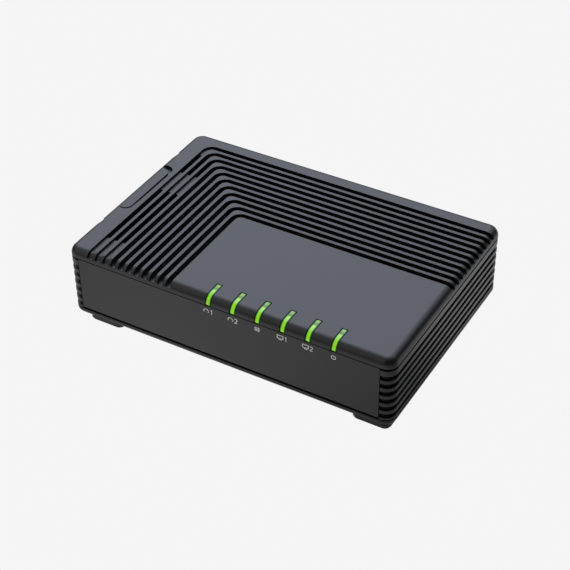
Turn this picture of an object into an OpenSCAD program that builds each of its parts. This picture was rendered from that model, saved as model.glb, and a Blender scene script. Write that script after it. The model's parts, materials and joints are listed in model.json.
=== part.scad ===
/* [Case] */
// Width of the case, left to right
case_w = 150; // [150:1:170]
// Depth of the case, front to back
case_d = 101; // [101:1:115]
// Height of the case from the underside of its feet to its top
case_h = 35.4; // [35.4:0.2:40]
// Radius of the upright corners, seen from above
corner_r = 5; // [4.5:0.1:6]
// Radius of the rounded edge round the top
top_edge_r = 3.7; // [3:0.1:4]
// Radius of the rounded edge round the bottom
bottom_edge_r = 2.2; // [1:0.1:2.4]
// Thickness of the side walls
wall = 2.4; // [2.2:0.1:2.6]

/* [Ribs] */
// Distance from one rib to the next, on the top and on the sides
rib_pitch = 3.82; // [3.7:0.01:3.9]
// Number of grooves that turn the corner on the top
top_grooves = 11; // [8:1:11]
// Width of each groove on the top
groove_w = 2.4; // [1.6:0.1:2.5]
// Depth of the grooves on the top
groove_depth = 3; // [2:0.1:3]
// Number of grooves round the sides
side_grooves = 6; // [4:1:6]
// Height of each groove round the sides
side_groove_h = 2; // [1.2:0.1:2.2]
// Depth of the grooves round the sides
side_groove_depth = 1.4; // [0.8:0.1:1.5]
// Width of the plain border left of the ribs
border_left = 10.1; // [9:0.1:11]
// Width of the plain border behind the ribs
border_back = 7.8; // [7:0.1:9]

/* [Lights] */
// Number of light pipes in the front edge
pipe_count = 6; // [6:1:6]
// Distance between light pipes
pipe_pitch = 11.25; // [10:0.05:11.5]
// Place of the first light pipe, from the middle of the case
pipe_first_x = -6.4; // [-8:0.1:-5]
// Width of each light pipe
pipe_w = 2.2; // [1.8:0.1:2.4]
// Length of each light pipe along the top
pipe_run = 9.2; // [7:0.1:9.5]

/* [Rear connectors] */
// Length of coaxial connector that stands out behind the case
coax_out = 10; // [9:0.5:14]
// Radius of the coaxial connector's threaded barrel
coax_r = 4.76; // [4.6:0.01:4.8]
// Travel of the reset button
reset_travel = 0.6; // [0.3:0.1:0.8]

/* [Hidden] */

// How round curves are drawn
$fn = 64;
// Overshoot of a cut past the face that it opens
eps = 1;

// The coaxial connector stands out behind, so the case sits in front of the middle
mid_y = -coax_out / 2;
foot_h = 2;
left_x = -case_w / 2;
right_x = case_w / 2;
front_y = -case_d / 2;
back_y = case_d / 2;

// Heights of the joints between base, housing and cover
base_top = 4.95;
cover_bottom = case_h - 4.1;
base_seam_h = 0.45;
base_seam_depth = 0.8;
cover_seam_h = 1;
cover_seam_depth = 1.1;
panel_bottom = base_top + 0.95;
panel_top = cover_bottom - 0.4;
panel_half_w = case_w / 2 - corner_r - 0.5;
panel_t = 1.6;
panel_gap = 0.15;
base_t = 2;

// Grooves on the top: deep inside, with a low lip left at the front and right edges
groove_floor = case_h - groove_depth;
lip_top = case_h - 2.5;
lip_w = 2.4;
groove_r = 4.9;
groove_start_x = left_x + border_left;
groove_start_y = back_y - border_back;
vent_grooves = 3;
bridge_depth = 0.9;

// Stretches of the outer grooves, from the front, that are open to the inside
vent_front = [front_y + 14.5, 4];
vent_back = [19, back_y - 15.5];

// Badge on the left edge, in a channel that is deeper and wider at the back
badge_front = -16;
badge_reach = 6.9;
badge_len = 32.9;
badge_r = 3;
badge_line = 1;
badge_back_gap = 2.8;
badge_depth = 0.3;
badge_slope = 1.8;

// Scooped notches in the left edge
notch_ys = [-27.8, 30.2];
notch_r = 4;
notch_depth = 2.1;

// Light pipe places
pipe_gap = 0.35;
pipe_foot_z = case_h - 3.8;
pipe_stem_y = front_y + 7;

// Hollow under the plain area of the cover, which keeps its thickness even
pocket_x = -20;
pocket_w = case_w / 2 + 14;
pocket_d = case_d / 2 - pipe_run - 5;
pocket_h = 2.1;

// Opening in the housing behind the rear panel
rear_window_h = 21.5;

// Inside
board_w = 126;
board_d = 92.5;
board_t = 1.6;
board_bottom = 9;
board_top = board_bottom + board_t;
board_back = back_y - panel_t - 1.6;
board_front = board_back - board_d;
post_x = 58;
post_front_y = board_front + 4;
post_back_y = board_front + 64;
boss_x = case_w / 2 - 8.2;
boss_y = case_d / 2 - 18.5;
post_r = 3;
board_pilot_r = 1.15;
case_pilot_r = 1.2;
case_pilot_h = 16;
screw_head_r = 2.6;
corners = [[-1, -1], [1, -1], [1, 1], [-1, 1]];
tuner_x = -9;
tuner_y = 23;
tuner_w = 26;
tuner_d = 16;
tuner_h = 7;
sheet_t = 0.4;
posts = [[-post_x, post_front_y], [post_x, post_front_y], [post_x, post_back_y], [-post_x, post_back_y]];

// Feet: the right ones sit nearer their corners than the left ones
foot_w = 16.6;
foot_d = 11;
foot_inset = 6.1;
foot_r = 3;
foot_boss_bottom = 0.9;
foot_plug_h = 0.7;
label_w = 52;
label_t = 0.15;
foot_left_x = -59.2;
foot_right_x = 65.4;
feet = [
    [foot_left_x, front_y + foot_inset], [foot_right_x, front_y + foot_inset],
    [foot_right_x, back_y - foot_inset], [foot_left_x, back_y - foot_inset]
];

// Vent slots and keyholes in the base
slot_count = 9;
slot_x = 26;
slot_w = 30;
slot_d = 2.4;
slot_pitch = 6;
slot_first_y = -24;
keyhole_x = 50;
keyhole_y = 12;
keyhole_head_r = 3.6;
keyhole_shank_r = 1.9;
keyhole_run = 7;

// Parts on the board: width, depth and height, and the middle of each
processor_at = [8, -8];
processor_size = [23, 23, 2];
pad_size = [16, 16, 0.5];
sink_size = [30, 30, 9];
fin_count = 8;
fin_pitch = 4;
fin_gap = 2.6;
fin_root = 2;
can_r = 3.15;
can_h = 11;

// Rear connectors, from the side that is right in a front view
jack_x = 55;
reset_x = 43.5;
lan_x = [30, 13];
coax_x = -6;
phone_x = [-26, -42];
lan_size = [16, 19, 13.4];
phone_size = [13, 17, 12.4];
lan_port = [11.9, 13, 8.2];
phone_port = [9.8, 11, 7.2];
jack_size = [9, 13.5, 11];
port_roof = 1.7;
latch_drop = 1.5;
contact_w = 0.4;
contact_t = 0.45;
contact_pitch = 1.02;
socket_y = back_y - panel_t - 0.1;
jack_hole_r = 3.1;
jack_nose_r = 3.9;
jack_pin_r = 1.05;
jack_depth = 10;
jack_z = 6.4;
coax_z = board_top + 8;
coax_root_r = coax_r - 0.5;
washer_t = 0.7;
nut_t = 2.2;
nut_face = washer_t + nut_t;
reset_z = board_top + 4;
reset_hole_r = 1.6;
reset_r = 1.55;

module at_case() translate([0, mid_y, 0]) children();

// Quarter section of a rounded block: straight outside, rounded top and bottom edges
module edge_section(run, z0, z1, r_top, r_bottom) {
    difference() {
        translate([0, z0]) square([run, z1 - z0]);
        if (r_top > 0) translate([run - r_top, z1 - r_top]) difference() {
            square([r_top + eps, r_top + eps]);
            circle(r = r_top);
        }
        if (r_bottom > 0) translate([run - r_bottom, z0 + r_bottom]) difference() {
            translate([0, -r_bottom - eps]) square([r_bottom + eps, r_bottom + eps]);
            circle(r = r_bottom);
        }
    }
}

// Block with rounded upright corners and rounded top and bottom edges
module rounded_block(w, d, z0, z1, r, r_top = 0, r_bottom = 0) {
    cx = w / 2 - r;
    cy = d / 2 - r;
    translate([-cx, -cy, z0]) cube([2 * cx, 2 * cy, z1 - z0]);
    for (side = [0, 1]) mirror([side, 0, 0]) {
        translate([cx, cy, 0]) rotate([90, 0, 0]) linear_extrude(2 * cy)
            edge_section(r, z0, z1, r_top, r_bottom);
        for (end = [0, 1]) mirror([0, end, 0]) translate([cx, cy, 0]) rotate_extrude(angle = 90)
            edge_section(r, z0, z1, r_top, r_bottom);
    }
    for (end = [0, 1]) mirror([0, end, 0]) translate([-cx, cy, 0]) rotate([90, 0, 90])
        linear_extrude(2 * cx) edge_section(r, z0, z1, r_top, r_bottom);
}

module rounded_rect(w, d, r) {
    square([w - 2 * r, d], center = true);
    square([w, d - 2 * r], center = true);
    for (c = corners) translate([c[0] * (w / 2 - r), c[1] * (d / 2 - r)]) circle(r = r);
}

// Everything right of x0 and in front of y0, with its corner rounded
module corner_area(x0, y0, r) {
    difference() {
        translate([x0, front_y - eps]) square([right_x + eps - x0, y0 - front_y + eps]);
        translate([x0, y0 - r]) difference() {
            translate([-eps, 0]) square([r + eps, r + eps]);
            translate([r, 0]) circle(r = r);
        }
    }
}

module groove_outline(first, last) {
    for (i = [first : last]) {
        x0 = groove_start_x + i * rib_pitch;
        y0 = groove_start_y - i * rib_pitch;
        difference() {
            corner_area(x0, y0, groove_r);
            corner_area(x0 + groove_w, y0 - groove_w, groove_r - groove_w);
        }
    }
}

module y_band(y0, y1) translate([left_x, y0]) square([border_left + vent_grooves * rib_pitch, y1 - y0]);

// The grooves: deep inside the edges, and shallower where they run out over them
module top_groove_cuts() {
    translate([0, 0, groove_floor]) linear_extrude(groove_depth + eps) intersection() {
        groove_outline(0, top_grooves - 1);
        translate([left_x, front_y + lip_w]) square([case_w - lip_w, case_d]);
    }
    translate([0, 0, lip_top]) linear_extrude(case_h - lip_top + eps) groove_outline(0, top_grooves - 1);
}

// Solid stretches that cross the outer grooves between their vents
module groove_bridges() {
    intersection() {
        rounded_block(case_w - 2 * bridge_depth, case_d - 2 * bridge_depth, groove_floor - eps,
            case_h - bridge_depth, corner_r - bridge_depth, top_edge_r - bridge_depth);
        translate([0, 0, groove_floor - eps]) linear_extrude(groove_depth) intersection() {
            translate([left_x, front_y - eps])
                square([border_left + (vent_grooves - 0.3) * rib_pitch, case_d]);
            union() {
                y_band(front_y - eps, vent_front[0]);
                y_band(vent_front[1], vent_back[0]);
                translate([left_x, vent_back[1]]) square([border_left + groove_w + 1, 10]);
            }
        }
    }
}

module vent_cuts() {
    translate([0, 0, cover_bottom - eps]) linear_extrude(case_h) intersection() {
        groove_outline(0, vent_grooves - 1);
        union() {
            y_band(vent_front[0], vent_front[1]);
            y_band(vent_back[0], vent_back[1]);
        }
    }
}

// Outline round the badge, grown by one amount in front and at its side and by another behind
module badge_outline(side_gap, back_gap) {
    length = badge_len + side_gap + back_gap;
    translate([0, length / 2 - side_gap])
        rounded_rect(2 * (badge_reach + side_gap), length, badge_r + side_gap);
}

module badge_channel() {
    translate([left_x, badge_front, case_h - badge_depth]) rotate([-badge_slope, 0, 0])
        linear_extrude(groove_depth) difference() {
            badge_outline(badge_line, badge_back_gap);
            badge_outline(0, 0);
        }
}

// Two upright notches in the left edge of the cover
module side_notches() {
    for (y = notch_ys) translate([left_x - notch_r + notch_depth, y, cover_bottom - eps])
        cylinder(r = notch_r, h = case_h - cover_bottom + 2 * eps);
}

module pipe_slots(w, top_z) {
    for (i = [0 : pipe_count - 1])
        translate([pipe_first_x + i * pipe_pitch - w / 2, front_y - eps, cover_bottom - eps])
            cube([w, pipe_run + pipe_gap + eps, top_z - cover_bottom + eps]);
}

module top_cover() color([0.25, 0.26, 0.28]) at_case() difference() {
    union() {
        difference() {
            rounded_block(case_w, case_d, cover_bottom, case_h, corner_r, top_edge_r);
            difference() {
                top_groove_cuts();
                groove_bridges();
            }
            vent_cuts();
            pipe_slots(pipe_w + 2 * pipe_gap, case_h + eps);
            badge_channel();
            side_notches();
            translate([pocket_x, front_y + pipe_run + 3, cover_bottom - eps])
                cube([pocket_w, pocket_d, pocket_h + eps]);
        }
        for (c = corners) translate([c[0] * boss_x, c[1] * boss_y, foot_h + base_t])
            cylinder(r = post_r, h = cover_bottom - foot_h - base_t + 0.5);
    }
    for (c = corners) translate([c[0] * boss_x, c[1] * boss_y, foot_h + base_t - eps])
        cylinder(r = case_pilot_r, h = case_pilot_h);
}

// Channel cut all round the outside, from height z up
module ring_cut(z, h, depth) {
    translate([0, 0, z]) linear_extrude(h) difference() {
        square([case_w + 2 * eps, case_d + 2 * eps], center = true);
        rounded_rect(case_w - 2 * depth, case_d - 2 * depth, corner_r - depth);
    }
}

module housing() color([0.2, 0.21, 0.22]) at_case() difference() {
    translate([0, 0, base_top]) linear_extrude(cover_bottom - base_top)
        rounded_rect(case_w, case_d, corner_r);
    translate([0, 0, base_top - eps]) linear_extrude(case_h)
        rounded_rect(case_w - 2 * wall, case_d - 2 * wall - 2 * panel_t, corner_r - wall);
    for (i = [0 : side_grooves - 1])
        ring_cut(cover_bottom - 4.8 - i * rib_pitch - side_groove_h / 2, side_groove_h, side_groove_depth);
    ring_cut(base_top - eps, base_seam_h + eps, base_seam_depth);
    ring_cut(cover_bottom - cover_seam_h, cover_seam_h + eps, cover_seam_depth);
    for (end = [0, 1]) mirror([0, end, 0])
        translate([-panel_half_w - panel_gap, back_y - panel_t, base_top - eps])
            cube([2 * (panel_half_w + panel_gap), wall, case_h]);
    translate([-panel_half_w + 4, back_y - 10, base_top + 2]) cube([2 * panel_half_w - 8, 12, rear_window_h]);
    translate([pipe_first_x - 4, front_y, pipe_foot_z - 6])
        cube([(pipe_count - 1) * pipe_pitch + 8, 12, 10]);
}

module front_panel() color([0.22, 0.225, 0.23]) at_case()
    translate([-panel_half_w, front_y, panel_bottom])
        cube([2 * panel_half_w, panel_t, panel_top - panel_bottom]);

module rear_panel() color([0.22, 0.225, 0.23]) at_case() difference() {
    translate([-panel_half_w, back_y - panel_t, panel_bottom])
        cube([2 * panel_half_w, panel_t, panel_top - panel_bottom]);
    for (x = lan_x) translate([x, 0, board_top + 7]) rear_window(lan_size[0] - 2, 11);
    for (x = phone_x) translate([x, 0, board_top + 6.4]) rear_window(phone_size[0] - 1.4, 10);
    translate([jack_x, back_y + eps, board_top + jack_z]) rotate([90, 0, 0])
        cylinder(r = jack_nose_r + 0.1, h = panel_t + 2 * eps);
    translate([coax_x, back_y + eps, coax_z]) rotate([90, 0, 0])
        cylinder(r = coax_r + 0.1, h = panel_t + 2 * eps);
    translate([reset_x, back_y + eps, reset_z]) rotate([90, 0, 0])
        cylinder(r = reset_hole_r, h = panel_t + 2 * eps);
}

module rear_window(w, h) translate([-w / 2, back_y - panel_t - eps, -h / 2]) cube([w, panel_t + 2 * eps, h]);

module base_plate() color([0.18, 0.18, 0.19]) at_case() difference() {
    union() {
        difference() {
            rounded_block(case_w, case_d, foot_h, base_top, corner_r, 0, bottom_edge_r);
            translate([0, 0, foot_h + base_t]) linear_extrude(case_h)
                rounded_rect(case_w - 2 * wall, case_d - 2 * wall, corner_r - wall);
        }
        for (f = feet) translate([f[0], f[1], foot_boss_bottom])
            linear_extrude(foot_h - foot_boss_bottom + 1.2) rounded_rect(foot_w, foot_d, foot_r);
        for (p = posts) translate([p[0], p[1], foot_h + base_t - 0.5])
            cylinder(r = post_r, h = board_bottom - foot_h - base_t + 0.5);
    }
    for (p = posts) translate([p[0], p[1], foot_h + base_t]) cylinder(r = board_pilot_r, h = case_h);
    for (c = corners) translate([c[0] * boss_x, c[1] * boss_y, foot_h - eps]) {
        cylinder(r = case_pilot_r + 0.5, h = 8);
        cylinder(r = post_r, h = eps + 1);
    }
    for (f = feet) translate([f[0], f[1], foot_boss_bottom - eps]) linear_extrude(eps + foot_plug_h + 0.1)
        rounded_rect(foot_w - 3, foot_d - 3, foot_r - 1.5);
    for (side = [-1, 1], i = [0 : slot_count - 1])
        translate([side * slot_x - slot_w / 2, slot_first_y + i * slot_pitch, foot_h - eps])
            cube([slot_w, slot_d, base_t + 2 * eps]);
    for (side = [-1, 1]) translate([side * keyhole_x, keyhole_y, foot_h - eps]) keyhole();
}

module keyhole() {
    cylinder(r = keyhole_head_r, h = base_t + 2 * eps);
    translate([-keyhole_shank_r, 0, 0]) cube([2 * keyhole_shank_r, keyhole_run, base_t + 2 * eps]);
    translate([0, keyhole_run, 0]) cylinder(r = keyhole_shank_r, h = base_t + 2 * eps);
}

module rubber_foot(i) color([0.05, 0.05, 0.05]) at_case() translate([feet[i][0], feet[i][1], 0]) {
    rounded_block(foot_w - 0.6, foot_d - 0.6, 0, foot_boss_bottom, foot_r - 0.3, 0, 0.6);
    translate([0, 0, foot_boss_bottom - 0.3]) linear_extrude(foot_plug_h + 0.3)
        rounded_rect(foot_w - 3.2, foot_d - 3.2, foot_r - 1.6);
}
module rubber_foot_1() rubber_foot(0);
module rubber_foot_2() rubber_foot(1);
module rubber_foot_3() rubber_foot(2);
module rubber_foot_4() rubber_foot(3);

// Rating label under the case, left blank
module blank_label() color([0.7, 0.7, 0.7]) at_case()
    translate([-label_w / 2, front_y + 7, foot_h - label_t]) cube([label_w, 13, label_t]);

// Light pipe: a blade that follows the rounded front edge, on a stem that stands over its lamp
module light_pipe(i) color([0.55, 0.9, 0.1]) at_case()
    translate([pipe_first_x + i * pipe_pitch - pipe_w / 2, 0, 0]) {
        rotate([90, 0, 90]) linear_extrude(pipe_w) difference() {
            translate([front_y, pipe_foot_z]) square([pipe_run, case_h - pipe_foot_z]);
            translate([front_y - eps, case_h - top_edge_r]) difference() {
                square([top_edge_r + eps, top_edge_r + eps]);
                translate([top_edge_r + eps, 0]) circle(r = top_edge_r);
            }
            translate([front_y + 3, pipe_foot_z - eps]) square([pipe_run, eps + 1]);
        }
        translate([0, pipe_stem_y - 1.2, board_top + 1.6]) cube([pipe_w, 2.4, pipe_foot_z - board_top]);
    }
module light_pipe_1() light_pipe(0);
module light_pipe_2() light_pipe(1);
module light_pipe_3() light_pipe(2);
module light_pipe_4() light_pipe(3);
module light_pipe_5() light_pipe(4);
module light_pipe_6() light_pipe(5);

// Black bar under the cover that holds the six stems apart
module pipe_carrier() color([0.1, 0.1, 0.1]) at_case() difference() {
    translate([pipe_first_x - 3.5, pipe_stem_y - 2.2, cover_bottom - 3])
        cube([(pipe_count - 1) * pipe_pitch + 7, 4.4, 3]);
    for (i = [0 : pipe_count - 1])
        translate([pipe_first_x + i * pipe_pitch - pipe_w / 2 - 0.05, pipe_stem_y - 1.25, pipe_foot_z - 6])
            cube([pipe_w + 0.1, 2.5, 6]);
}

module status_leds() color([0.9, 0.95, 0.8]) at_case() for (i = [0 : pipe_count - 1])
    translate([pipe_first_x + i * pipe_pitch - 0.8, pipe_stem_y - 0.4, board_top]) cube([1.6, 0.8, 0.7]);

module main_board() color([0.05, 0.35, 0.15]) at_case() difference() {
    translate([-board_w / 2, board_front, board_bottom]) cube([board_w, board_d, board_t]);
    for (p = posts) translate([p[0], p[1], board_bottom - eps]) cylinder(r = 1.6, h = board_t + 2 * eps);
    for (c = corners) translate([c[0] * boss_x, c[1] * boss_y, board_bottom - eps])
        cylinder(r = 4.4, h = board_t + 2 * eps);
}

module screw(head_z, head_r, head_h, length, shank_r) {
    translate([0, 0, head_z]) cylinder(r = head_r, h = head_h);
    translate([0, 0, head_z - length]) cylinder(r = shank_r, h = length);
}
module board_screws() color([0.75, 0.75, 0.78]) at_case() for (p = posts)
    translate([p[0], p[1], 0]) screw(board_top, screw_head_r, 1.6, 6, board_pilot_r - 0.05);
module case_screws() color([0.2, 0.2, 0.22]) at_case() for (c = corners)
    translate([c[0] * boss_x, c[1] * boss_y, foot_h + 1]) mirror([0, 0, 1])
        screw(0, screw_head_r, 0.8, 12, case_pilot_r - 0.05);

module chip(x, y, w, d, h) translate([x - w / 2, y - d / 2, board_top]) cube([w, d, h]);
// Block stacked on the processor, from height z above the board
module stacked(size, z) translate([0, 0, z])
    chip(processor_at[0], processor_at[1], size[0], size[1], size[2]);
module processor() color([0.08, 0.08, 0.09]) at_case() stacked(processor_size, 0);
module thermal_pad() color([0.6, 0.65, 0.7]) at_case() stacked(pad_size, processor_size[2]);
module heat_sink() color([0.7, 0.72, 0.74]) at_case() difference() {
    sink_z = processor_size[2] + pad_size[2];
    stacked(sink_size, sink_z);
    for (i = [0 : fin_count - 2])
        translate([(i - (fin_count - 2) / 2) * fin_pitch, 0, fin_root])
            stacked([fin_gap, sink_size[1] + 2 * eps, sink_size[2]], sink_z);
}
module memory_chips() color([0.08, 0.08, 0.09]) at_case() {
    chip(-20, -8, 11, 18, 1.1);
    chip(34, -14, 12, 20, 1.1);
}
module tuner_shield() color([0.75, 0.76, 0.78]) at_case() difference() {
    chip(tuner_x, tuner_y, tuner_w, tuner_d, tuner_h);
    translate([0, 0, -eps])
        chip(tuner_x, tuner_y, tuner_w - 2 * sheet_t, tuner_d - 2 * sheet_t, tuner_h + 2 * eps);
}
module tuner_lid() color([0.8, 0.81, 0.83]) at_case()
    translate([0, 0, tuner_h]) chip(tuner_x, tuner_y, tuner_w, tuner_d, sheet_t);
module line_transformers() color([0.1, 0.1, 0.1]) at_case() {
    chip(30, 19, 15, 10, 5.6);
    chip(13, 11, 12, 5, 4);
    chip(-34, 19, 12, 9, 9);
    chip(-48, 14, 12, 9, 9);
}
module capacitors() color([0.2, 0.2, 0.25]) at_case()
    for (p = [[46, 11], [46, 21], [54, 8], [-52, -22], [46, -28]])
        translate([p[0], p[1], board_top]) cylinder(r = can_r, h = can_h);
module power_inductor() color([0.15, 0.15, 0.15]) at_case() chip(46, -8, 10, 10, 4.5);
module crystal() color([0.8, 0.8, 0.82]) at_case() chip(-4, -28, 11, 4.6, 3.4);

// Turns a shape drawn along +Z to point out of the back, with z = 0 at the rear face
module out_back(x, z) at_case() translate([x, back_y, z]) rotate([-90, 0, 0]) children();

module coax_shell() color([0.8, 0.78, 0.72]) out_back(coax_x, coax_z) difference() {
    union() {
        translate([0, 0, -panel_t - 9]) cylinder(r = coax_root_r, h = coax_out + panel_t + 8);
        translate([0, 0, nut_face]) cylinder(r = coax_r, h = coax_out - nut_face);
        translate([0, 0, -panel_t - 2.6]) cylinder(r = 6.4, h = 2.5, $fn = 6);
        translate([-5.5, -5, -panel_t - 14]) cube([11, 12.9, 5.5]);
    }
    translate([0, 0, -panel_t - 8]) cylinder(r = 3.4, h = coax_out + 20);
}
module coax_insulator() color([0.95, 0.95, 0.92]) out_back(coax_x, coax_z) difference() {
    translate([0, 0, -8]) cylinder(r = 3.35, h = coax_out + 7.2);
    translate([0, 0, -9]) cylinder(r = 1, h = coax_out + 20);
}
module coax_contact() color([0.85, 0.7, 0.3]) out_back(coax_x, coax_z) difference() {
    translate([0, 0, -7.5]) cylinder(r = 0.95, h = coax_out + 6);
    translate([0, 0, -2]) cylinder(r = 0.5, h = coax_out + 20);
}
module coax_washer() color([0.8, 0.8, 0.8]) out_back(coax_x, coax_z) difference() {
    cylinder(r = 7, h = washer_t);
    translate([0, 0, -eps]) cylinder(r = coax_root_r + 0.05, h = 4);
}
module coax_nut() color([0.8, 0.78, 0.72]) out_back(coax_x, coax_z) difference() {
    translate([0, 0, washer_t]) cylinder(r = 6.35, h = nut_t, $fn = 6);
    translate([0, 0, -eps]) cylinder(r = coax_root_r + 0.05, h = 5);
}

// Socket body with its opening, and the channel for the plug's latch below it
module socket(x, size, port, latch_w) at_case() translate([x, socket_y, board_top]) difference() {
    port_z = size[2] - port[2] - port_roof;
    translate([-size[0] / 2, -size[1], 0]) cube(size);
    translate([-port[0] / 2, -port[1], port_z]) cube([port[0], port[1] + eps, port[2]]);
    translate([-latch_w / 2, -port[1], port_z - latch_drop]) cube([latch_w, port[1] + eps, 2]);
}
module lan_socket_1() color([0.12, 0.12, 0.13]) socket(lan_x[0], lan_size, lan_port, 6);
module lan_socket_2() color([0.12, 0.12, 0.13]) socket(lan_x[1], lan_size, lan_port, 6);
module phone_socket_1() color([0.12, 0.12, 0.13]) socket(phone_x[0], phone_size, phone_port, 5);
module phone_socket_2() color([0.12, 0.12, 0.13]) socket(phone_x[1], phone_size, phone_port, 5);

// Row of flat contacts under the top of a port
module contact_row(x, size, port, count) at_case()
    translate([x, socket_y - port[1] + 0.05, board_top + size[2] - port_roof - 0.05])
        for (i = [0 : count - 1])
            translate([(i - (count - 1) / 2) * contact_pitch - contact_w / 2, 0, -contact_t])
                cube([contact_w, port[1] - 3, contact_t]);
module lan_contacts() color([0.9, 0.75, 0.3]) for (x = lan_x) contact_row(x, lan_size, lan_port, 8);
module phone_contacts() color([0.9, 0.75, 0.3]) for (x = phone_x) contact_row(x, phone_size, phone_port, 4);

module dc_jack() color([0.1, 0.1, 0.1]) at_case() translate([jack_x, socket_y, board_top]) difference() {
    union() {
        translate([-jack_size[0] / 2, -jack_size[1], 0]) cube(jack_size);
        translate([0, -0.5, jack_z]) rotate([-90, 0, 0]) cylinder(r = jack_nose_r, h = panel_t + 0.5);
    }
    translate([0, -jack_depth, jack_z]) rotate([-90, 0, 0]) cylinder(r = jack_hole_r, h = 2 * jack_depth);
}
module dc_pin() color([0.85, 0.85, 0.87]) at_case()
    translate([jack_x, socket_y - jack_depth, board_top + jack_z])
        rotate([-90, 0, 0]) cylinder(r = jack_pin_r, h = jack_depth - 0.5);

module reset_switch() color([0.15, 0.15, 0.16]) at_case()
    translate([reset_x - 3, back_y - panel_t - 8.6, board_top]) cube([6, 4, 7]);
module reset_button() color([0.15, 0.15, 0.16]) out_back(reset_x, reset_z) {
    translate([0, 0, -panel_t - 3.7]) cylinder(r = reset_r, h = panel_t + 3.2);
}

top_cover();
housing();
front_panel();
rear_panel();
base_plate();
rubber_foot_1();
rubber_foot_2();
rubber_foot_3();
rubber_foot_4();
blank_label();
light_pipe_1();
light_pipe_2();
light_pipe_3();
light_pipe_4();
light_pipe_5();
light_pipe_6();
pipe_carrier();
status_leds();
main_board();
board_screws();
case_screws();
processor();
heat_sink();
thermal_pad();
memory_chips();
tuner_shield();
tuner_lid();
line_transformers();
capacitors();
power_inductor();
crystal();
coax_shell();
coax_insulator();
coax_contact();
coax_washer();
coax_nut();
phone_socket_1();
phone_socket_2();
phone_contacts();
lan_socket_1();
lan_socket_2();
lan_contacts();
dc_jack();
dc_pin();
reset_button();
reset_switch();
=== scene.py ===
import json
import math

import bmesh
import bpy
from mathutils import Matrix, Vector


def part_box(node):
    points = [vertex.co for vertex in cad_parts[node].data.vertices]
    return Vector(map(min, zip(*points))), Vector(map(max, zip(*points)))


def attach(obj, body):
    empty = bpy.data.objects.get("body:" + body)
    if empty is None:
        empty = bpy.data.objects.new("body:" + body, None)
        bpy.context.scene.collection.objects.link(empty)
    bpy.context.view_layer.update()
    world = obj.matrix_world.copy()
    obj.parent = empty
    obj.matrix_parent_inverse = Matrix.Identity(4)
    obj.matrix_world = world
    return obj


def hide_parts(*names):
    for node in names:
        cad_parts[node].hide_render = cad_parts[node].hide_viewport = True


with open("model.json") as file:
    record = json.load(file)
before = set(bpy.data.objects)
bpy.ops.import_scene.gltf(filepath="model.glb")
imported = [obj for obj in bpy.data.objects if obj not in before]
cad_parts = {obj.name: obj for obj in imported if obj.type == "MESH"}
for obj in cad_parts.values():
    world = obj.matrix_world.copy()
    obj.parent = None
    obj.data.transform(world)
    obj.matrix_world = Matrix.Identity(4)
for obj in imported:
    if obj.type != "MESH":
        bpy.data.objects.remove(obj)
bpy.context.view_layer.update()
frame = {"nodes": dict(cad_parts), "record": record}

MM = 0.001
nodes = frame["nodes"]
CASE = "case"
RESET = "reset"

cover_low, cover_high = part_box("top_cover")
case_mid_y = (cover_low.y + cover_high.y) / 2


# ---------------------------------------------------------------- material building

def new_material(name):
    material = bpy.data.materials.new(name)
    material.use_nodes = True
    return material, material.node_tree, material.node_tree.nodes["Principled BSDF"]


def feed(tree, value, socket):
    """Gives a socket another node's output, a colour or a number."""
    if isinstance(value, bpy.types.NodeSocket):
        tree.links.new(value, socket)
    elif isinstance(value, tuple):
        socket.default_value = (*value, 1)
    else:
        socket.default_value = value


def object_mapping(tree, scale=(1, 1, 1)):
    """Object coordinates in millimetres, stretched by scale."""
    coordinates = tree.nodes.new("ShaderNodeTexCoord")
    mapping = tree.nodes.new("ShaderNodeMapping")
    mapping.inputs["Scale"].default_value = [s / MM for s in scale]
    tree.links.new(coordinates.outputs["Object"], mapping.inputs["Vector"])
    return mapping.outputs["Vector"]


def noise(tree, vector, scale, detail, roughness=0.5):
    node = tree.nodes.new("ShaderNodeTexNoise")
    node.inputs["Scale"].default_value = scale
    node.inputs["Detail"].default_value = detail
    node.inputs["Roughness"].default_value = roughness
    tree.links.new(vector, node.inputs["Vector"])
    return node.outputs["Fac"]


def map_range(tree, value, from_low, from_high, to_low, to_high, smooth_step=False):
    node = tree.nodes.new("ShaderNodeMapRange")
    node.interpolation_type = "SMOOTHSTEP" if smooth_step else "LINEAR"
    node.inputs["From Min"].default_value = from_low
    node.inputs["From Max"].default_value = from_high
    node.inputs["To Min"].default_value = to_low
    node.inputs["To Max"].default_value = to_high
    tree.links.new(value, node.inputs["Value"])
    return node.outputs["Result"]


def math_node(tree, operation, first, second):
    """Sum, product or the like of two values, each a socket or a number."""
    node = tree.nodes.new("ShaderNodeMath")
    node.operation = operation
    feed(tree, first, node.inputs[0])
    feed(tree, second, node.inputs[1])
    return node.outputs["Value"]


def mix_colors(tree, factor, first, second):
    """Mix of two colours, each a socket or three numbers."""
    node = tree.nodes.new("ShaderNodeMix")
    node.data_type = "RGBA"
    feed(tree, factor, node.inputs["Factor"])
    feed(tree, first, node.inputs["A"])
    feed(tree, second, node.inputs["B"])
    return node.outputs["Result"]


def add_bump(tree, shader, height, strength, distance):
    node = tree.nodes.new("ShaderNodeBump")
    node.inputs["Strength"].default_value = strength
    node.inputs["Distance"].default_value = distance
    tree.links.new(height, node.inputs["Height"])
    tree.links.new(node.outputs["Normal"], shader.inputs["Normal"])


# Grain of moulded and plated surfaces, in millimetres, and how far colour and gloss wander
GRAIN_SIZE = 0.25
GRAIN_DEPTH = 0.02
PATCH_SIZE = 20
COLOR_VARIATION = 0.12
GLOSS_VARIATION = 0.05


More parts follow.
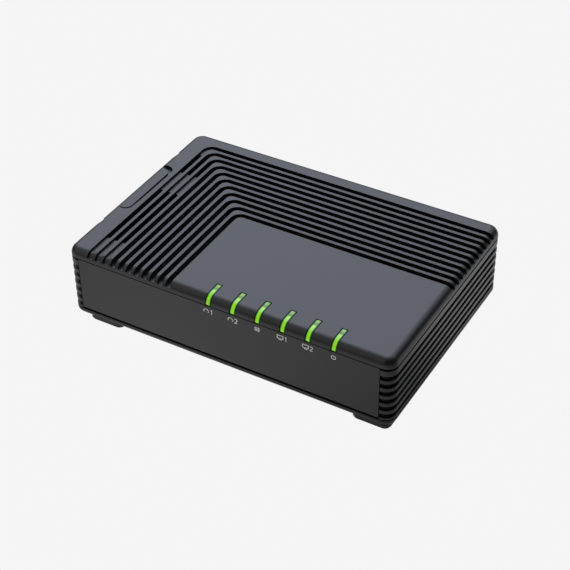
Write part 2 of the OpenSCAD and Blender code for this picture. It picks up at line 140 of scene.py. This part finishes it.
def moulded(name, color, roughness, grain=0.35, metallic=0.0, specular=0.5):
    """Moulded or plated surface: fine grain, slight unevenness in colour and gloss."""
    material, tree, shader = new_material(name + "_finish")
    vector = object_mapping(tree)
    broad = noise(tree, vector, 1 / PATCH_SIZE, 2)
    fine = noise(tree, vector, 1 / GRAIN_SIZE, 4, 0.6)
    darker = tuple(c * (1 - COLOR_VARIATION) for c in color)
    lighter = tuple(min(1, c * (1 + COLOR_VARIATION)) for c in color)
    tree.links.new(mix_colors(tree, broad, darker, lighter), shader.inputs["Base Color"])
    uneven = map_range(tree, fine, 0, 1, roughness - GLOSS_VARIATION, roughness + GLOSS_VARIATION)
    tree.links.new(uneven, shader.inputs["Roughness"])
    shader.inputs["Metallic"].default_value = metallic
    shader.inputs["Specular IOR Level"].default_value = specular
    add_bump(tree, shader, fine, grain, GRAIN_DEPTH * MM)
    return material


# Colour of the lit plastic along a light pipe, from its foot at the front to its back end
PIPE_GLOW = [
    (0.0, (0.22, 0.62, 0.0)),
    (0.2, (0.30, 0.80, 0.0)),
    (0.33, (0.20, 0.56, 0.0)),
    (0.45, (0.03, 0.10, 0.0)),
    (0.58, (0.06, 0.17, 0.0)),
    (0.75, (0.20, 0.42, 0.03)),
    (0.93, (0.16, 0.35, 0.02)),
    (1.0, (0.01, 0.04, 0.0)),
]
PIPE_SIDE_GLOW = (0.0, 0.012, 0.0)
PIPE_GREEN = (0.02, 0.08, 0.002)
PIPE_SIDE_GREEN = (0.002, 0.008, 0.001)
PIPE_ROUGHNESS = 0.3
PIPE_BLADE_HEIGHT = 3.8 * MM

# Share of the half width of a pipe where its glow begins to fade, and where it is gone
PIPE_FADE_START = 0.4
PIPE_FADE_END = 0.9
PIPE_SIDE_LEVEL = 0.03
STREAK_STRETCH = (2.4, 0.03, 0.03)
STREAK_DIM = 0.75
STREAK_BRIGHT = 1.2


def lit_pipe(name, low, high):
    """Green plastic lit from inside: bright low at the front, dim over the bend, dark at its sides."""
    material, tree, shader = new_material(name + "_finish")
    coordinates = tree.nodes.new("ShaderNodeTexCoord")
    place = tree.nodes.new("ShaderNodeSeparateXYZ")
    tree.links.new(coordinates.outputs["Object"], place.inputs["Vector"])
    along = math_node(tree, "SUBTRACT", place.outputs["Y"], place.outputs["Z"])
    foot = low.y - (high.z - PIPE_BLADE_HEIGHT)
    step = map_range(tree, along, foot, high.y - high.z, 0, 1)
    ramp = tree.nodes.new("ShaderNodeValToRGB")
    stops = ramp.color_ramp.elements
    for element, (position, color) in zip(stops, (PIPE_GLOW[0], PIPE_GLOW[-1])):
        element.position, element.color = position, (*color, 1)
    for position, color in PIPE_GLOW[1:-1]:
        stops.new(position).color = (*color, 1)
    tree.links.new(step, ramp.inputs["Fac"])

    middle = (low.x + high.x) / 2
    half = (high.x - low.x) / 2
    off_middle = math_node(tree, "ABSOLUTE", math_node(tree, "SUBTRACT", place.outputs["X"], middle), 0)
    fade_start = half * PIPE_FADE_START
    fade_end = half * PIPE_FADE_END
    inside = map_range(tree, off_middle, fade_start, fade_end, 1, PIPE_SIDE_LEVEL, True)
    streaks = noise(tree, object_mapping(tree, STREAK_STRETCH), 1, 2)
    streak_level = map_range(tree, streaks, 0.3, 0.7, STREAK_DIM, STREAK_BRIGHT)
    bright = math_node(tree, "MULTIPLY", inside, streak_level)
    glow = mix_colors(tree, bright, PIPE_SIDE_GLOW, ramp.outputs["Color"])
    tree.links.new(glow, shader.inputs["Emission Color"])
    body = mix_colors(tree, inside, PIPE_SIDE_GREEN, PIPE_GREEN)
    tree.links.new(body, shader.inputs["Base Color"])
    shader.inputs["Emission Strength"].default_value = 1.0
    shader.inputs["Roughness"].default_value = PIPE_ROUGHNESS
    return material


# ---------------------------------------------------------------- meshes

# Edges where the faces turn by more than this are rounded
SHARP_ANGLE = math.radians(30)


def mesh_object(name, bm, material):
    mesh = bpy.data.meshes.new(name)
    bm.to_mesh(mesh)
    bm.free()
    mesh.materials.append(material)
    made = bpy.data.objects.new(name, mesh)
    bpy.context.scene.collection.objects.link(made)
    return made


def new_piece(name, bm, material, body=CASE):
    """A piece of the object, which moves with that body."""
    piece = mesh_object(name, bm, material)
    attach(piece, body)
    return piece


def smooth(piece, angle):
    """Smooth shading that keeps the large flat faces flat."""
    for polygon in piece.data.polygons:
        polygon.use_smooth = True
    piece.data.set_sharp_from_angle(angle=math.radians(angle))
    weighted = piece.modifiers.new("flat_faces", "WEIGHTED_NORMAL")
    weighted.mode = "FACE_AREA"
    weighted.weight = 100
    weighted.keep_sharp = True


def clean_copy(node):
    """The CAD node's mesh with its flat faces joined up, ready for rounding."""
    bm = bmesh.new()
    bm.from_mesh(nodes[node].data)
    bmesh.ops.remove_doubles(bm, verts=bm.verts, dist=0.001 * MM)
    bmesh.ops.dissolve_limit(bm, angle_limit=math.radians(1), verts=bm.verts, edges=bm.edges)
    return bm


def round_edges(bm, width, segments):
    sharp = [e for e in bm.edges if e.is_manifold and e.calc_face_angle() > SHARP_ANGLE]
    bmesh.ops.bevel(bm, geom=sharp, offset=width, offset_type="OFFSET", segments=segments, profile=0.5,
                    affect="EDGES", clamp_overlap=True)


def rounded_node(node, material, width, segments, body=CASE):
    """A copy of a CAD node with its sharp edges rounded, which stands for that node."""
    bm = clean_copy(node)
    round_edges(bm, width, segments)
    piece = new_piece(node + "_shell", bm, material, body)
    smooth(piece, 40)
    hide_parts(node)


def join_sections(bm, sections, closed):
    """Skin over four-sided sections that follow one another, as a ring or with both ends capped."""
    pairs = list(zip(sections, sections[1:]))
    if closed:
        pairs.append((sections[-1], sections[0]))
    for first, second in pairs:
        for k in range(4):
            bm.faces.new((first[k], first[(k + 1) % 4], second[(k + 1) % 4], second[k]))
    if not closed:
        bm.faces.new(sections[0])
        bm.faces.new(list(reversed(sections[-1])))


# ---------------------------------------------------------------- printed marks

def polyline(*points):
    return [Vector(p) for p in points]


ARC_STEPS = 24


def arc(x, z, radius, start, end, squeeze=1.0):
    """Points on an arc round (x, z), angles in degrees; squeeze narrows it."""
    angles = [math.radians(start + (end - start) * i / ARC_STEPS) for i in range(ARC_STEPS + 1)]
    return [Vector((x + squeeze * radius * math.cos(a), z + radius * math.sin(a))) for a in angles]


# Each mark is a list of strokes in a frame one unit high, with its middle at (0, 0)
DIGITS = {
    1: [polyline((-0.16, 0.3), (0.04, 0.5), (0.04, -0.5))],
    2: [arc(0, 0.24, 0.26, 165, -35) + polyline((-0.26, -0.5), (0.28, -0.5))],
}
HANDSET = [
    arc(0, -0.16, 0.56, 20, 160),
    polyline((-0.62, -0.02), (-0.4, -0.3)),
    polyline((0.62, -0.02), (0.4, -0.3)),
]
GLOBE = [arc(0, 0, 0.5, 0, 360), arc(0, 0, 0.5, 0, 360, squeeze=0.45), polyline((-0.5, 0), (0.5, 0))]
SCREEN = [
    polyline((-0.6, -0.22), (0.6, -0.22), (0.6, 0.5), (-0.6, 0.5), (-0.6, -0.22)),
    polyline((0, -0.22), (0, -0.5)),
    polyline((-0.34, -0.5), (0.34, -0.5)),
]
POWER = [arc(0, -0.06, 0.44, 125, 415), polyline((0, 0.02), (0, 0.5))]
COAX = [arc(0, 0, 0.5, 0, 360), arc(0, 0, 0.12, 0, 360)]
INLET = [arc(0, 0, 0.42, 40, 320), arc(0, 0, 0.1, 0, 360), polyline((0.1, 0), (1.0, 0))]
RESET_SIGN = [arc(0, 0, 0.42, -20, 270), polyline((-0.24, -0.26), (0, -0.42), (-0.22, -0.62))]


# How far the sign and its number stand from the middle of a mark
SIGN_SHIFT = -0.45
NUMBER_SHIFT = 0.75


def shifted(strokes, across):
    return [[p + Vector((across, 0)) for p in stroke] for stroke in strokes]


def numbered(sign, digit):
    """A sign with a number to its right, both about the middle."""
    return shifted(sign, SIGN_SHIFT) + shifted(DIGITS[digit], NUMBER_SHIFT)


def is_closed(points):
    return (points[0] - points[-1]).length < 1e-6


def stroke_sides(points, width):
    """The two edges of a line of that width through the points, mitred at each bend."""
    closed = is_closed(points)
    count = len(points)
    left, right = [], []
    for i, point in enumerate(points):
        before = points[i - 1] if i > 0 else (points[-2] if closed else point)
        after = points[i + 1] if i < count - 1 else (points[1] if closed else point)
        into = (point - before if i > 0 or closed else after - point).normalized()
        out = (after - point if i < count - 1 or closed else point - before).normalized()
        normal = Vector((-into.y, into.x)) + Vector((-out.y, out.x))
        normal.normalize()
        reach = width / 2 / max(0.5, normal.dot(Vector((-out.y, out.x))))
        left.append(point + normal * reach)
        right.append(point - normal * reach)
    return left, right


def add_stroke(bm, points, width, to_surface, thickness):
    """Thin solid strip of ink along the points."""
    closed = is_closed(points)
    sides = list(zip(*stroke_sides(points, width)))
    if closed:
        sides.pop()
    sections = []
    for left, right in sides:
        outline = ((left, 0), (left, thickness), (right, thickness), (right, 0))
        sections.append([bm.verts.new(to_surface(point, lift)) for point, lift in outline])
    join_sections(bm, sections, closed)


def print_mark(name, strokes, height, line_width, middle, across, outwards):
    """Prints strokes on a panel: across is to the reader's right, outwards leaves the panel."""
    bm = bmesh.new()

    def to_surface(point, lift):
        on_panel = across * point.x * height + Vector((0, 0, point.y * height))
        return middle + on_panel + outwards * (lift - INK_SUNK)

    for stroke in strokes:
        add_stroke(bm, stroke, line_width / height, to_surface, INK_THICKNESS)
    bmesh.ops.recalc_face_normals(bm, faces=bm.faces)
    piece = new_piece(name, bm, INK)


# ---------------------------------------------------------------- coaxial thread

def thread_ridge(bm, middle, start_y, end_y, pitch, root, crest):
    """Ridge of a thread along +Y round the middle, which fades out at both ends."""
    turns = (end_y - start_y) / pitch
    sections = []
    for i in range(int(turns * THREAD_STEPS) + 1):
        turn = i / THREAD_STEPS
        angle = 2 * math.pi * turn
        height = min(1, 2 * turn, 2 * (turns - turn)) * (crest - root)
        y = start_y + pitch * turn
        profile = ((root, -0.4), (root + height, -0.1), (root + height, 0.1), (root, 0.4))
        section = []
        for radius, along in profile:
            x = middle.x + radius * math.cos(angle)
            z = middle.z + radius * math.sin(angle)
            section.append(bm.verts.new((x, y + pitch * along, z)))
        sections.append(section)
    join_sections(bm, sections, False)


def threaded_coax():
    """The connector's shell with its barrel cut down to a core, and a thread on it."""
    mount = next(m for m in frame["record"]["mounts"] if m["name"] == "coax_port")
    crest = mount["dims"]["r_mm"] * MM
    core = crest - THREAD_DEPTH
    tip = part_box("coax_shell")[1].y
    root = tip - mount["dims"]["length_mm"] * MM
    pin_low, pin_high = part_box("coax_contact")
    middle = (pin_low + pin_high) / 2
    bm = clean_copy("coax_shell")
    for vertex in bm.verts:
        off_axis = Vector((vertex.co.x - middle.x, 0, vertex.co.z - middle.z))
        if abs(off_axis.length - crest) < NEAR and vertex.co.y > root - NEAR:
            shrunk = off_axis.normalized() * core
            vertex.co.x = middle.x + shrunk.x
            vertex.co.z = middle.z + shrunk.z
    round_edges(bm, *BARREL_ROUNDING)
    thread_ridge(bm, middle, root + THREAD_ROOT_GAP, tip - THREAD_TIP_GAP, THREAD_PITCH,
                 core - THREAD_SUNK, crest)
    bmesh.ops.recalc_face_normals(bm, faces=bm.faces)
    piece = new_piece("coax_shell_threaded", bm, NICKEL)
    smooth(piece, 35)
    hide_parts("coax_shell")


# ---------------------------------------------------------------- materials

COVER = moulded("cover_plastic", (0.006, 0.0063, 0.007), 0.40)
SIDES = moulded("side_plastic", (0.006, 0.0062, 0.0066), 0.38)
PANEL = moulded("panel_plastic", (0.004, 0.0041, 0.0043), 0.38, grain=0.2)
BASE = moulded("base_plastic", (0.004, 0.0042, 0.0045), 0.45, specular=0.35)
RUBBER = moulded("foot_rubber", (0.003, 0.003, 0.003), 0.8, grain=0.6, specular=0.15)
BLACK = moulded("black_plastic", (0.012, 0.012, 0.013), 0.35)
LABEL = moulded("label", (0.5, 0.5, 0.5), 0.6)
INK = moulded("ink", (0.8, 0.8, 0.8), 0.6, grain=0.1)
LAMP = moulded("lamp", (0.6, 0.85, 0.35), 0.3)
BOARD = moulded("board", (0.012, 0.09, 0.035), 0.4)
STEEL = moulded("steel", (0.6, 0.6, 0.62), 0.35, metallic=1.0)
CHIP = moulded("chip", (0.015, 0.015, 0.017), 0.6)
ALUMINIUM = moulded("bare_aluminium", (0.7, 0.71, 0.72), 0.4, metallic=1.0)
PAD = moulded("thermal_pad", (0.3, 0.36, 0.42), 0.8)
TIN = moulded("tin_plate", (0.65, 0.66, 0.67), 0.3, metallic=1.0)
SLEEVE = moulded("can_sleeve", (0.02, 0.025, 0.05), 0.3)
NICKEL = moulded("nickel", (0.72, 0.70, 0.64), 0.22, metallic=1.0)
WHITE = moulded("white_insulator", (0.8, 0.8, 0.77), 0.5)
GOLD = moulded("gold", (0.83, 0.6, 0.24), 0.25, metallic=1.0)

SLOT_MATERIALS = {
    "cover_plastic": COVER, "side_plastic": SIDES, "panel_plastic": PANEL, "base_plastic": BASE,
    "foot_rubber": RUBBER, "label": LABEL, "lamp": LAMP, "board": BOARD, "steel": STEEL, "chip": CHIP,
    "bare_aluminium": ALUMINIUM, "thermal_pad": PAD, "tin_plate": TIN, "black_plastic": BLACK,
    "can_sleeve": SLEEVE, "nickel": NICKEL, "white_insulator": WHITE, "gold": GOLD,
}

# How far each node's edges are rounded, and in how many steps; other nodes take FINE_ROUNDING
ROUNDING = {
    "top_cover": (0.7 * MM, 4), "housing": (0.65 * MM, 4), "base_plate": (0.3 * MM, 3),
    "front_panel": (0.2 * MM, 3), "rear_panel": (0.15 * MM, 3),
}
FINE_ROUNDING = (0.1 * MM, 2)
FOOT_ROUNDING = (0.25 * MM, 3)
PIPE_ROUNDING = (0.3 * MM, 3)
BARREL_ROUNDING = (0.12 * MM, 2)

# Thread of the coaxial connector: 32 turns to the inch
THREAD_PITCH = 25.4 / 32 * MM
THREAD_DEPTH = 0.45 * MM
THREAD_SUNK = 0.05 * MM
THREAD_ROOT_GAP = 0.3 * MM
THREAD_TIP_GAP = 0.5 * MM
THREAD_STEPS = 48
NEAR = 0.1 * MM


# ---------------------------------------------------------------- the object

def finish_nodes():
    """Every node's edges rounded a little, in the material of its slot."""
    for part in frame["record"]["subparts"]:
        node, slot = part["node"], part["material_slot"]
        body = RESET if node == "reset_button" else CASE
        if node == "coax_shell":
            threaded_coax()
        elif slot == "light_pipe":
            rounded_node(node, lit_pipe(node, *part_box(node)), *PIPE_ROUNDING)
        elif slot == "foot_rubber":
            rounded_node(node, RUBBER, *FOOT_ROUNDING)
        else:
            width, steps = ROUNDING.get(node, FINE_ROUNDING)
            rounded_node(node, SLOT_MATERIALS[slot], width, steps, body)


FRONT_MARKS = [
    numbered(HANDSET, 1), numbered(HANDSET, 2), GLOBE, numbered(SCREEN, 1), numbered(SCREEN, 2), POWER,
]
REAR_MARKS = [
    ("phone_socket_1", numbered(HANDSET, 1)), ("phone_socket_2", numbered(HANDSET, 2)),
    ("lan_socket_1", numbered(SCREEN, 1)), ("lan_socket_2", numbered(SCREEN, 2)),
    ("coax_washer", COAX), ("reset_button", RESET_SIGN), ("dc_jack", INLET),
]

# Height of each mark, width of its strokes, and how far its middle is below the panel's top edge
FRONT_MARK_HEIGHT = 2.1 * MM
FRONT_MARK_STROKE = 0.34 * MM
FRONT_MARK_DROP = 2.5 * MM
REAR_MARK_HEIGHT = 2.2 * MM
REAR_MARK_STROKE = 0.3 * MM
REAR_MARK_DROP = 2.6 * MM
INK_THICKNESS = 0.03 * MM
INK_SUNK = 0.01 * MM


def print_front_marks():
    """A mark below each light pipe."""
    panel_low, panel_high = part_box("front_panel")
    for i, strokes in enumerate(FRONT_MARKS):
        low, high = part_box(f"light_pipe_{i + 1}")
        middle = Vector(((low.x + high.x) / 2, panel_low.y, panel_high.z - FRONT_MARK_DROP))
        print_mark(f"front_mark_{i + 1}", strokes, FRONT_MARK_HEIGHT, FRONT_MARK_STROKE, middle,
                   Vector((1, 0, 0)), Vector((0, -1, 0)))


def print_rear_marks():
    """A mark above each connector and the button at the rear."""
    panel_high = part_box("rear_panel")[1]
    for node, strokes in REAR_MARKS:
        low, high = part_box(node)
        middle = Vector(((low.x + high.x) / 2, panel_high.y, panel_high.z - REAR_MARK_DROP))
        print_mark(f"rear_mark_{node}", strokes, REAR_MARK_HEIGHT, REAR_MARK_STROKE, middle,
                   Vector((-1, 0, 0)), Vector((0, 1, 0)))


finish_nodes()
print_front_marks()
print_rear_marks()


# ---------------------------------------------------------------- camera, light and floor

# Where the camera stands, how its picture is shifted, and its lens
VIEW_AZIMUTH = math.radians(30.47)
VIEW_ELEVATION = math.radians(38.26)
VIEW_ROLL = math.radians(-0.815)
VIEW_DISTANCE = 622.84 * MM
VIEW_OFFSET = Vector((0.588, 4.452, 0)) * MM
VIEW_LENS = 93.34
FILM_WIDTH = 36.0
AIM_HEIGHT = 15 * MM


def direction(azimuth, elevation):
    """Unit vector that points from the case towards a place at that azimuth and elevation, in radians."""
    return Vector((math.sin(azimuth) * math.cos(elevation), -math.cos(azimuth) * math.cos(elevation),
                   math.sin(elevation)))


def add_camera():
    back = direction(VIEW_AZIMUTH, VIEW_ELEVATION)
    level = Vector((math.cos(VIEW_AZIMUTH), math.sin(VIEW_AZIMUTH), 0))
    rise = back.cross(level)
    right = math.cos(VIEW_ROLL) * level + math.sin(VIEW_ROLL) * rise
    up = -math.sin(VIEW_ROLL) * level + math.cos(VIEW_ROLL) * rise
    turn = Matrix((right, up, back)).transposed()
    aim = Vector((0, case_mid_y, AIM_HEIGHT))
    place = turn @ (Vector((0, 0, VIEW_DISTANCE)) - VIEW_OFFSET) + aim
    data = bpy.data.cameras.new("camera")
    data.lens = VIEW_LENS
    data.sensor_width = FILM_WIDTH
    data.clip_start = 0.01
    camera = bpy.data.objects.new("camera", data)
    bpy.context.scene.collection.objects.link(camera)
    camera.matrix_world = Matrix.Translation(place) @ turn.to_4x4()
    bpy.context.scene.camera = camera


BACKGROUND = 0.915
AMBIENT = 0.02
WHITE_LIGHT = (1.0, 1.0, 1.0)
BACK_TINT = (0.80, 0.86, 1.0)
FRONT_TINT = (1.0, 0.98, 0.96)

# Soft panels of light far away: azimuth and elevation in degrees, strength, tint
LOBES = [
    (-135, 37, 2.2, BACK_TINT),
    (180, 62, 1.6, BACK_TINT),
    (-120, 62, 0.8, BACK_TINT),
    (180, 37, 0.6, BACK_TINT),
    (-45, 37, 0.89, FRONT_TINT),
]
LOBE_HALF_WIDTH = math.radians(38)

# Light that the floor sends up: azimuth of the brightest direction and strength
FLOOR_GLOWS = [(0, 0.58), (-45, 0.28), (145, 0.85)]
FLOOR_GLOW_LOW = 0.05
FLOOR_HALF_SIZE = 3.0

# Depth of the case counts for more than its width when a place on the floor is put to a direction
FLOOR_STRETCH = 1.45


def facing(tree, vector, towards, edge, strength):
    """Strength where the vector points along towards, which fades to nothing where their cosine is edge."""
    dot = tree.nodes.new("ShaderNodeVectorMath")
    dot.operation = "DOT_PRODUCT"
    dot.inputs[1].default_value = towards
    tree.links.new(vector, dot.inputs[0])
    return map_range(tree, dot.outputs["Value"], edge, 1, 0, strength, True)


def add_world(seen, ambient):
    """Soft panels of light for the object, and an even pale background for the camera."""
    world = bpy.data.worlds.new("world")
    world.use_nodes = True
    bpy.context.scene.world = world
    tree = world.node_tree
    tree.nodes.clear()
    output = tree.nodes.new("ShaderNodeOutputWorld")
    coordinates = tree.nodes.new("ShaderNodeTexCoord")

    def background(color, strength):
        node = tree.nodes.new("ShaderNodeBackground")
        feed(tree, color, node.inputs["Color"])
        feed(tree, strength, node.inputs["Strength"])
        return node.outputs["Background"]

    lit = background(WHITE_LIGHT, ambient)
    for azimuth, elevation, strength, tint in LOBES:
        towards = direction(math.radians(azimuth), math.radians(elevation))
        level = facing(tree, coordinates.outputs["Generated"], towards, math.cos(LOBE_HALF_WIDTH), strength)
        added = tree.nodes.new("ShaderNodeAddShader")
        tree.links.new(lit, added.inputs[0])
        tree.links.new(background(tint, level), added.inputs[1])
        lit = added.outputs["Shader"]

    path = tree.nodes.new("ShaderNodeLightPath")
    blend = tree.nodes.new("ShaderNodeMixShader")
    tree.links.new(path.outputs["Is Camera Ray"], blend.inputs["Fac"])
    tree.links.new(lit, blend.inputs[1])
    tree.links.new(background(WHITE_LIGHT, seen), blend.inputs[2])
    tree.links.new(blend.outputs["Shader"], output.inputs["Surface"])


def floor_material(seen):
    """Emits the same everywhere to the camera, and more towards some sides of the object."""
    material, tree, shader = new_material("floor")
    shader.inputs["Base Color"].default_value = (0, 0, 0, 1)
    shader.inputs["Roughness"].default_value = 1
    shader.inputs["Specular IOR Level"].default_value = 0
    shader.inputs["Emission Color"].default_value = (1, 1, 1, 1)

    coordinates = tree.nodes.new("ShaderNodeTexCoord")
    mapping = tree.nodes.new("ShaderNodeMapping")
    mapping.inputs["Location"].default_value = (0, -FLOOR_STRETCH * case_mid_y, 0)
    mapping.inputs["Scale"].default_value = (1, FLOOR_STRETCH, 0)
    tree.links.new(coordinates.outputs["Object"], mapping.inputs["Vector"])
    outwards = tree.nodes.new("ShaderNodeVectorMath")
    outwards.operation = "NORMALIZE"
    tree.links.new(mapping.outputs["Vector"], outwards.inputs[0])
    level = FLOOR_GLOW_LOW
    for azimuth, strength in FLOOR_GLOWS:
        towards = direction(math.radians(azimuth), 0)
        glow = facing(tree, outwards.outputs["Vector"], towards, 0, strength)
        level = math_node(tree, "ADD", glow, level)

    path = tree.nodes.new("ShaderNodeLightPath")
    seen_or_lit = tree.nodes.new("ShaderNodeMix")
    tree.links.new(path.outputs["Is Camera Ray"], seen_or_lit.inputs["Factor"])
    feed(tree, level, seen_or_lit.inputs["A"])
    feed(tree, seen, seen_or_lit.inputs["B"])
    tree.links.new(seen_or_lit.outputs["Result"], shader.inputs["Emission Strength"])
    return material


def add_floor(seen):
    """Large pale floor that blends into the background and lights the object from some sides."""
    bm = bmesh.new()
    bmesh.ops.create_grid(bm, x_segments=1, y_segments=1, size=FLOOR_HALF_SIZE)
    floor = mesh_object("floor", bm, floor_material(seen))


add_camera()
add_world(BACKGROUND, AMBIENT)
add_floor(BACKGROUND)
bpy.context.scene.view_settings.view_transform = "Standard"
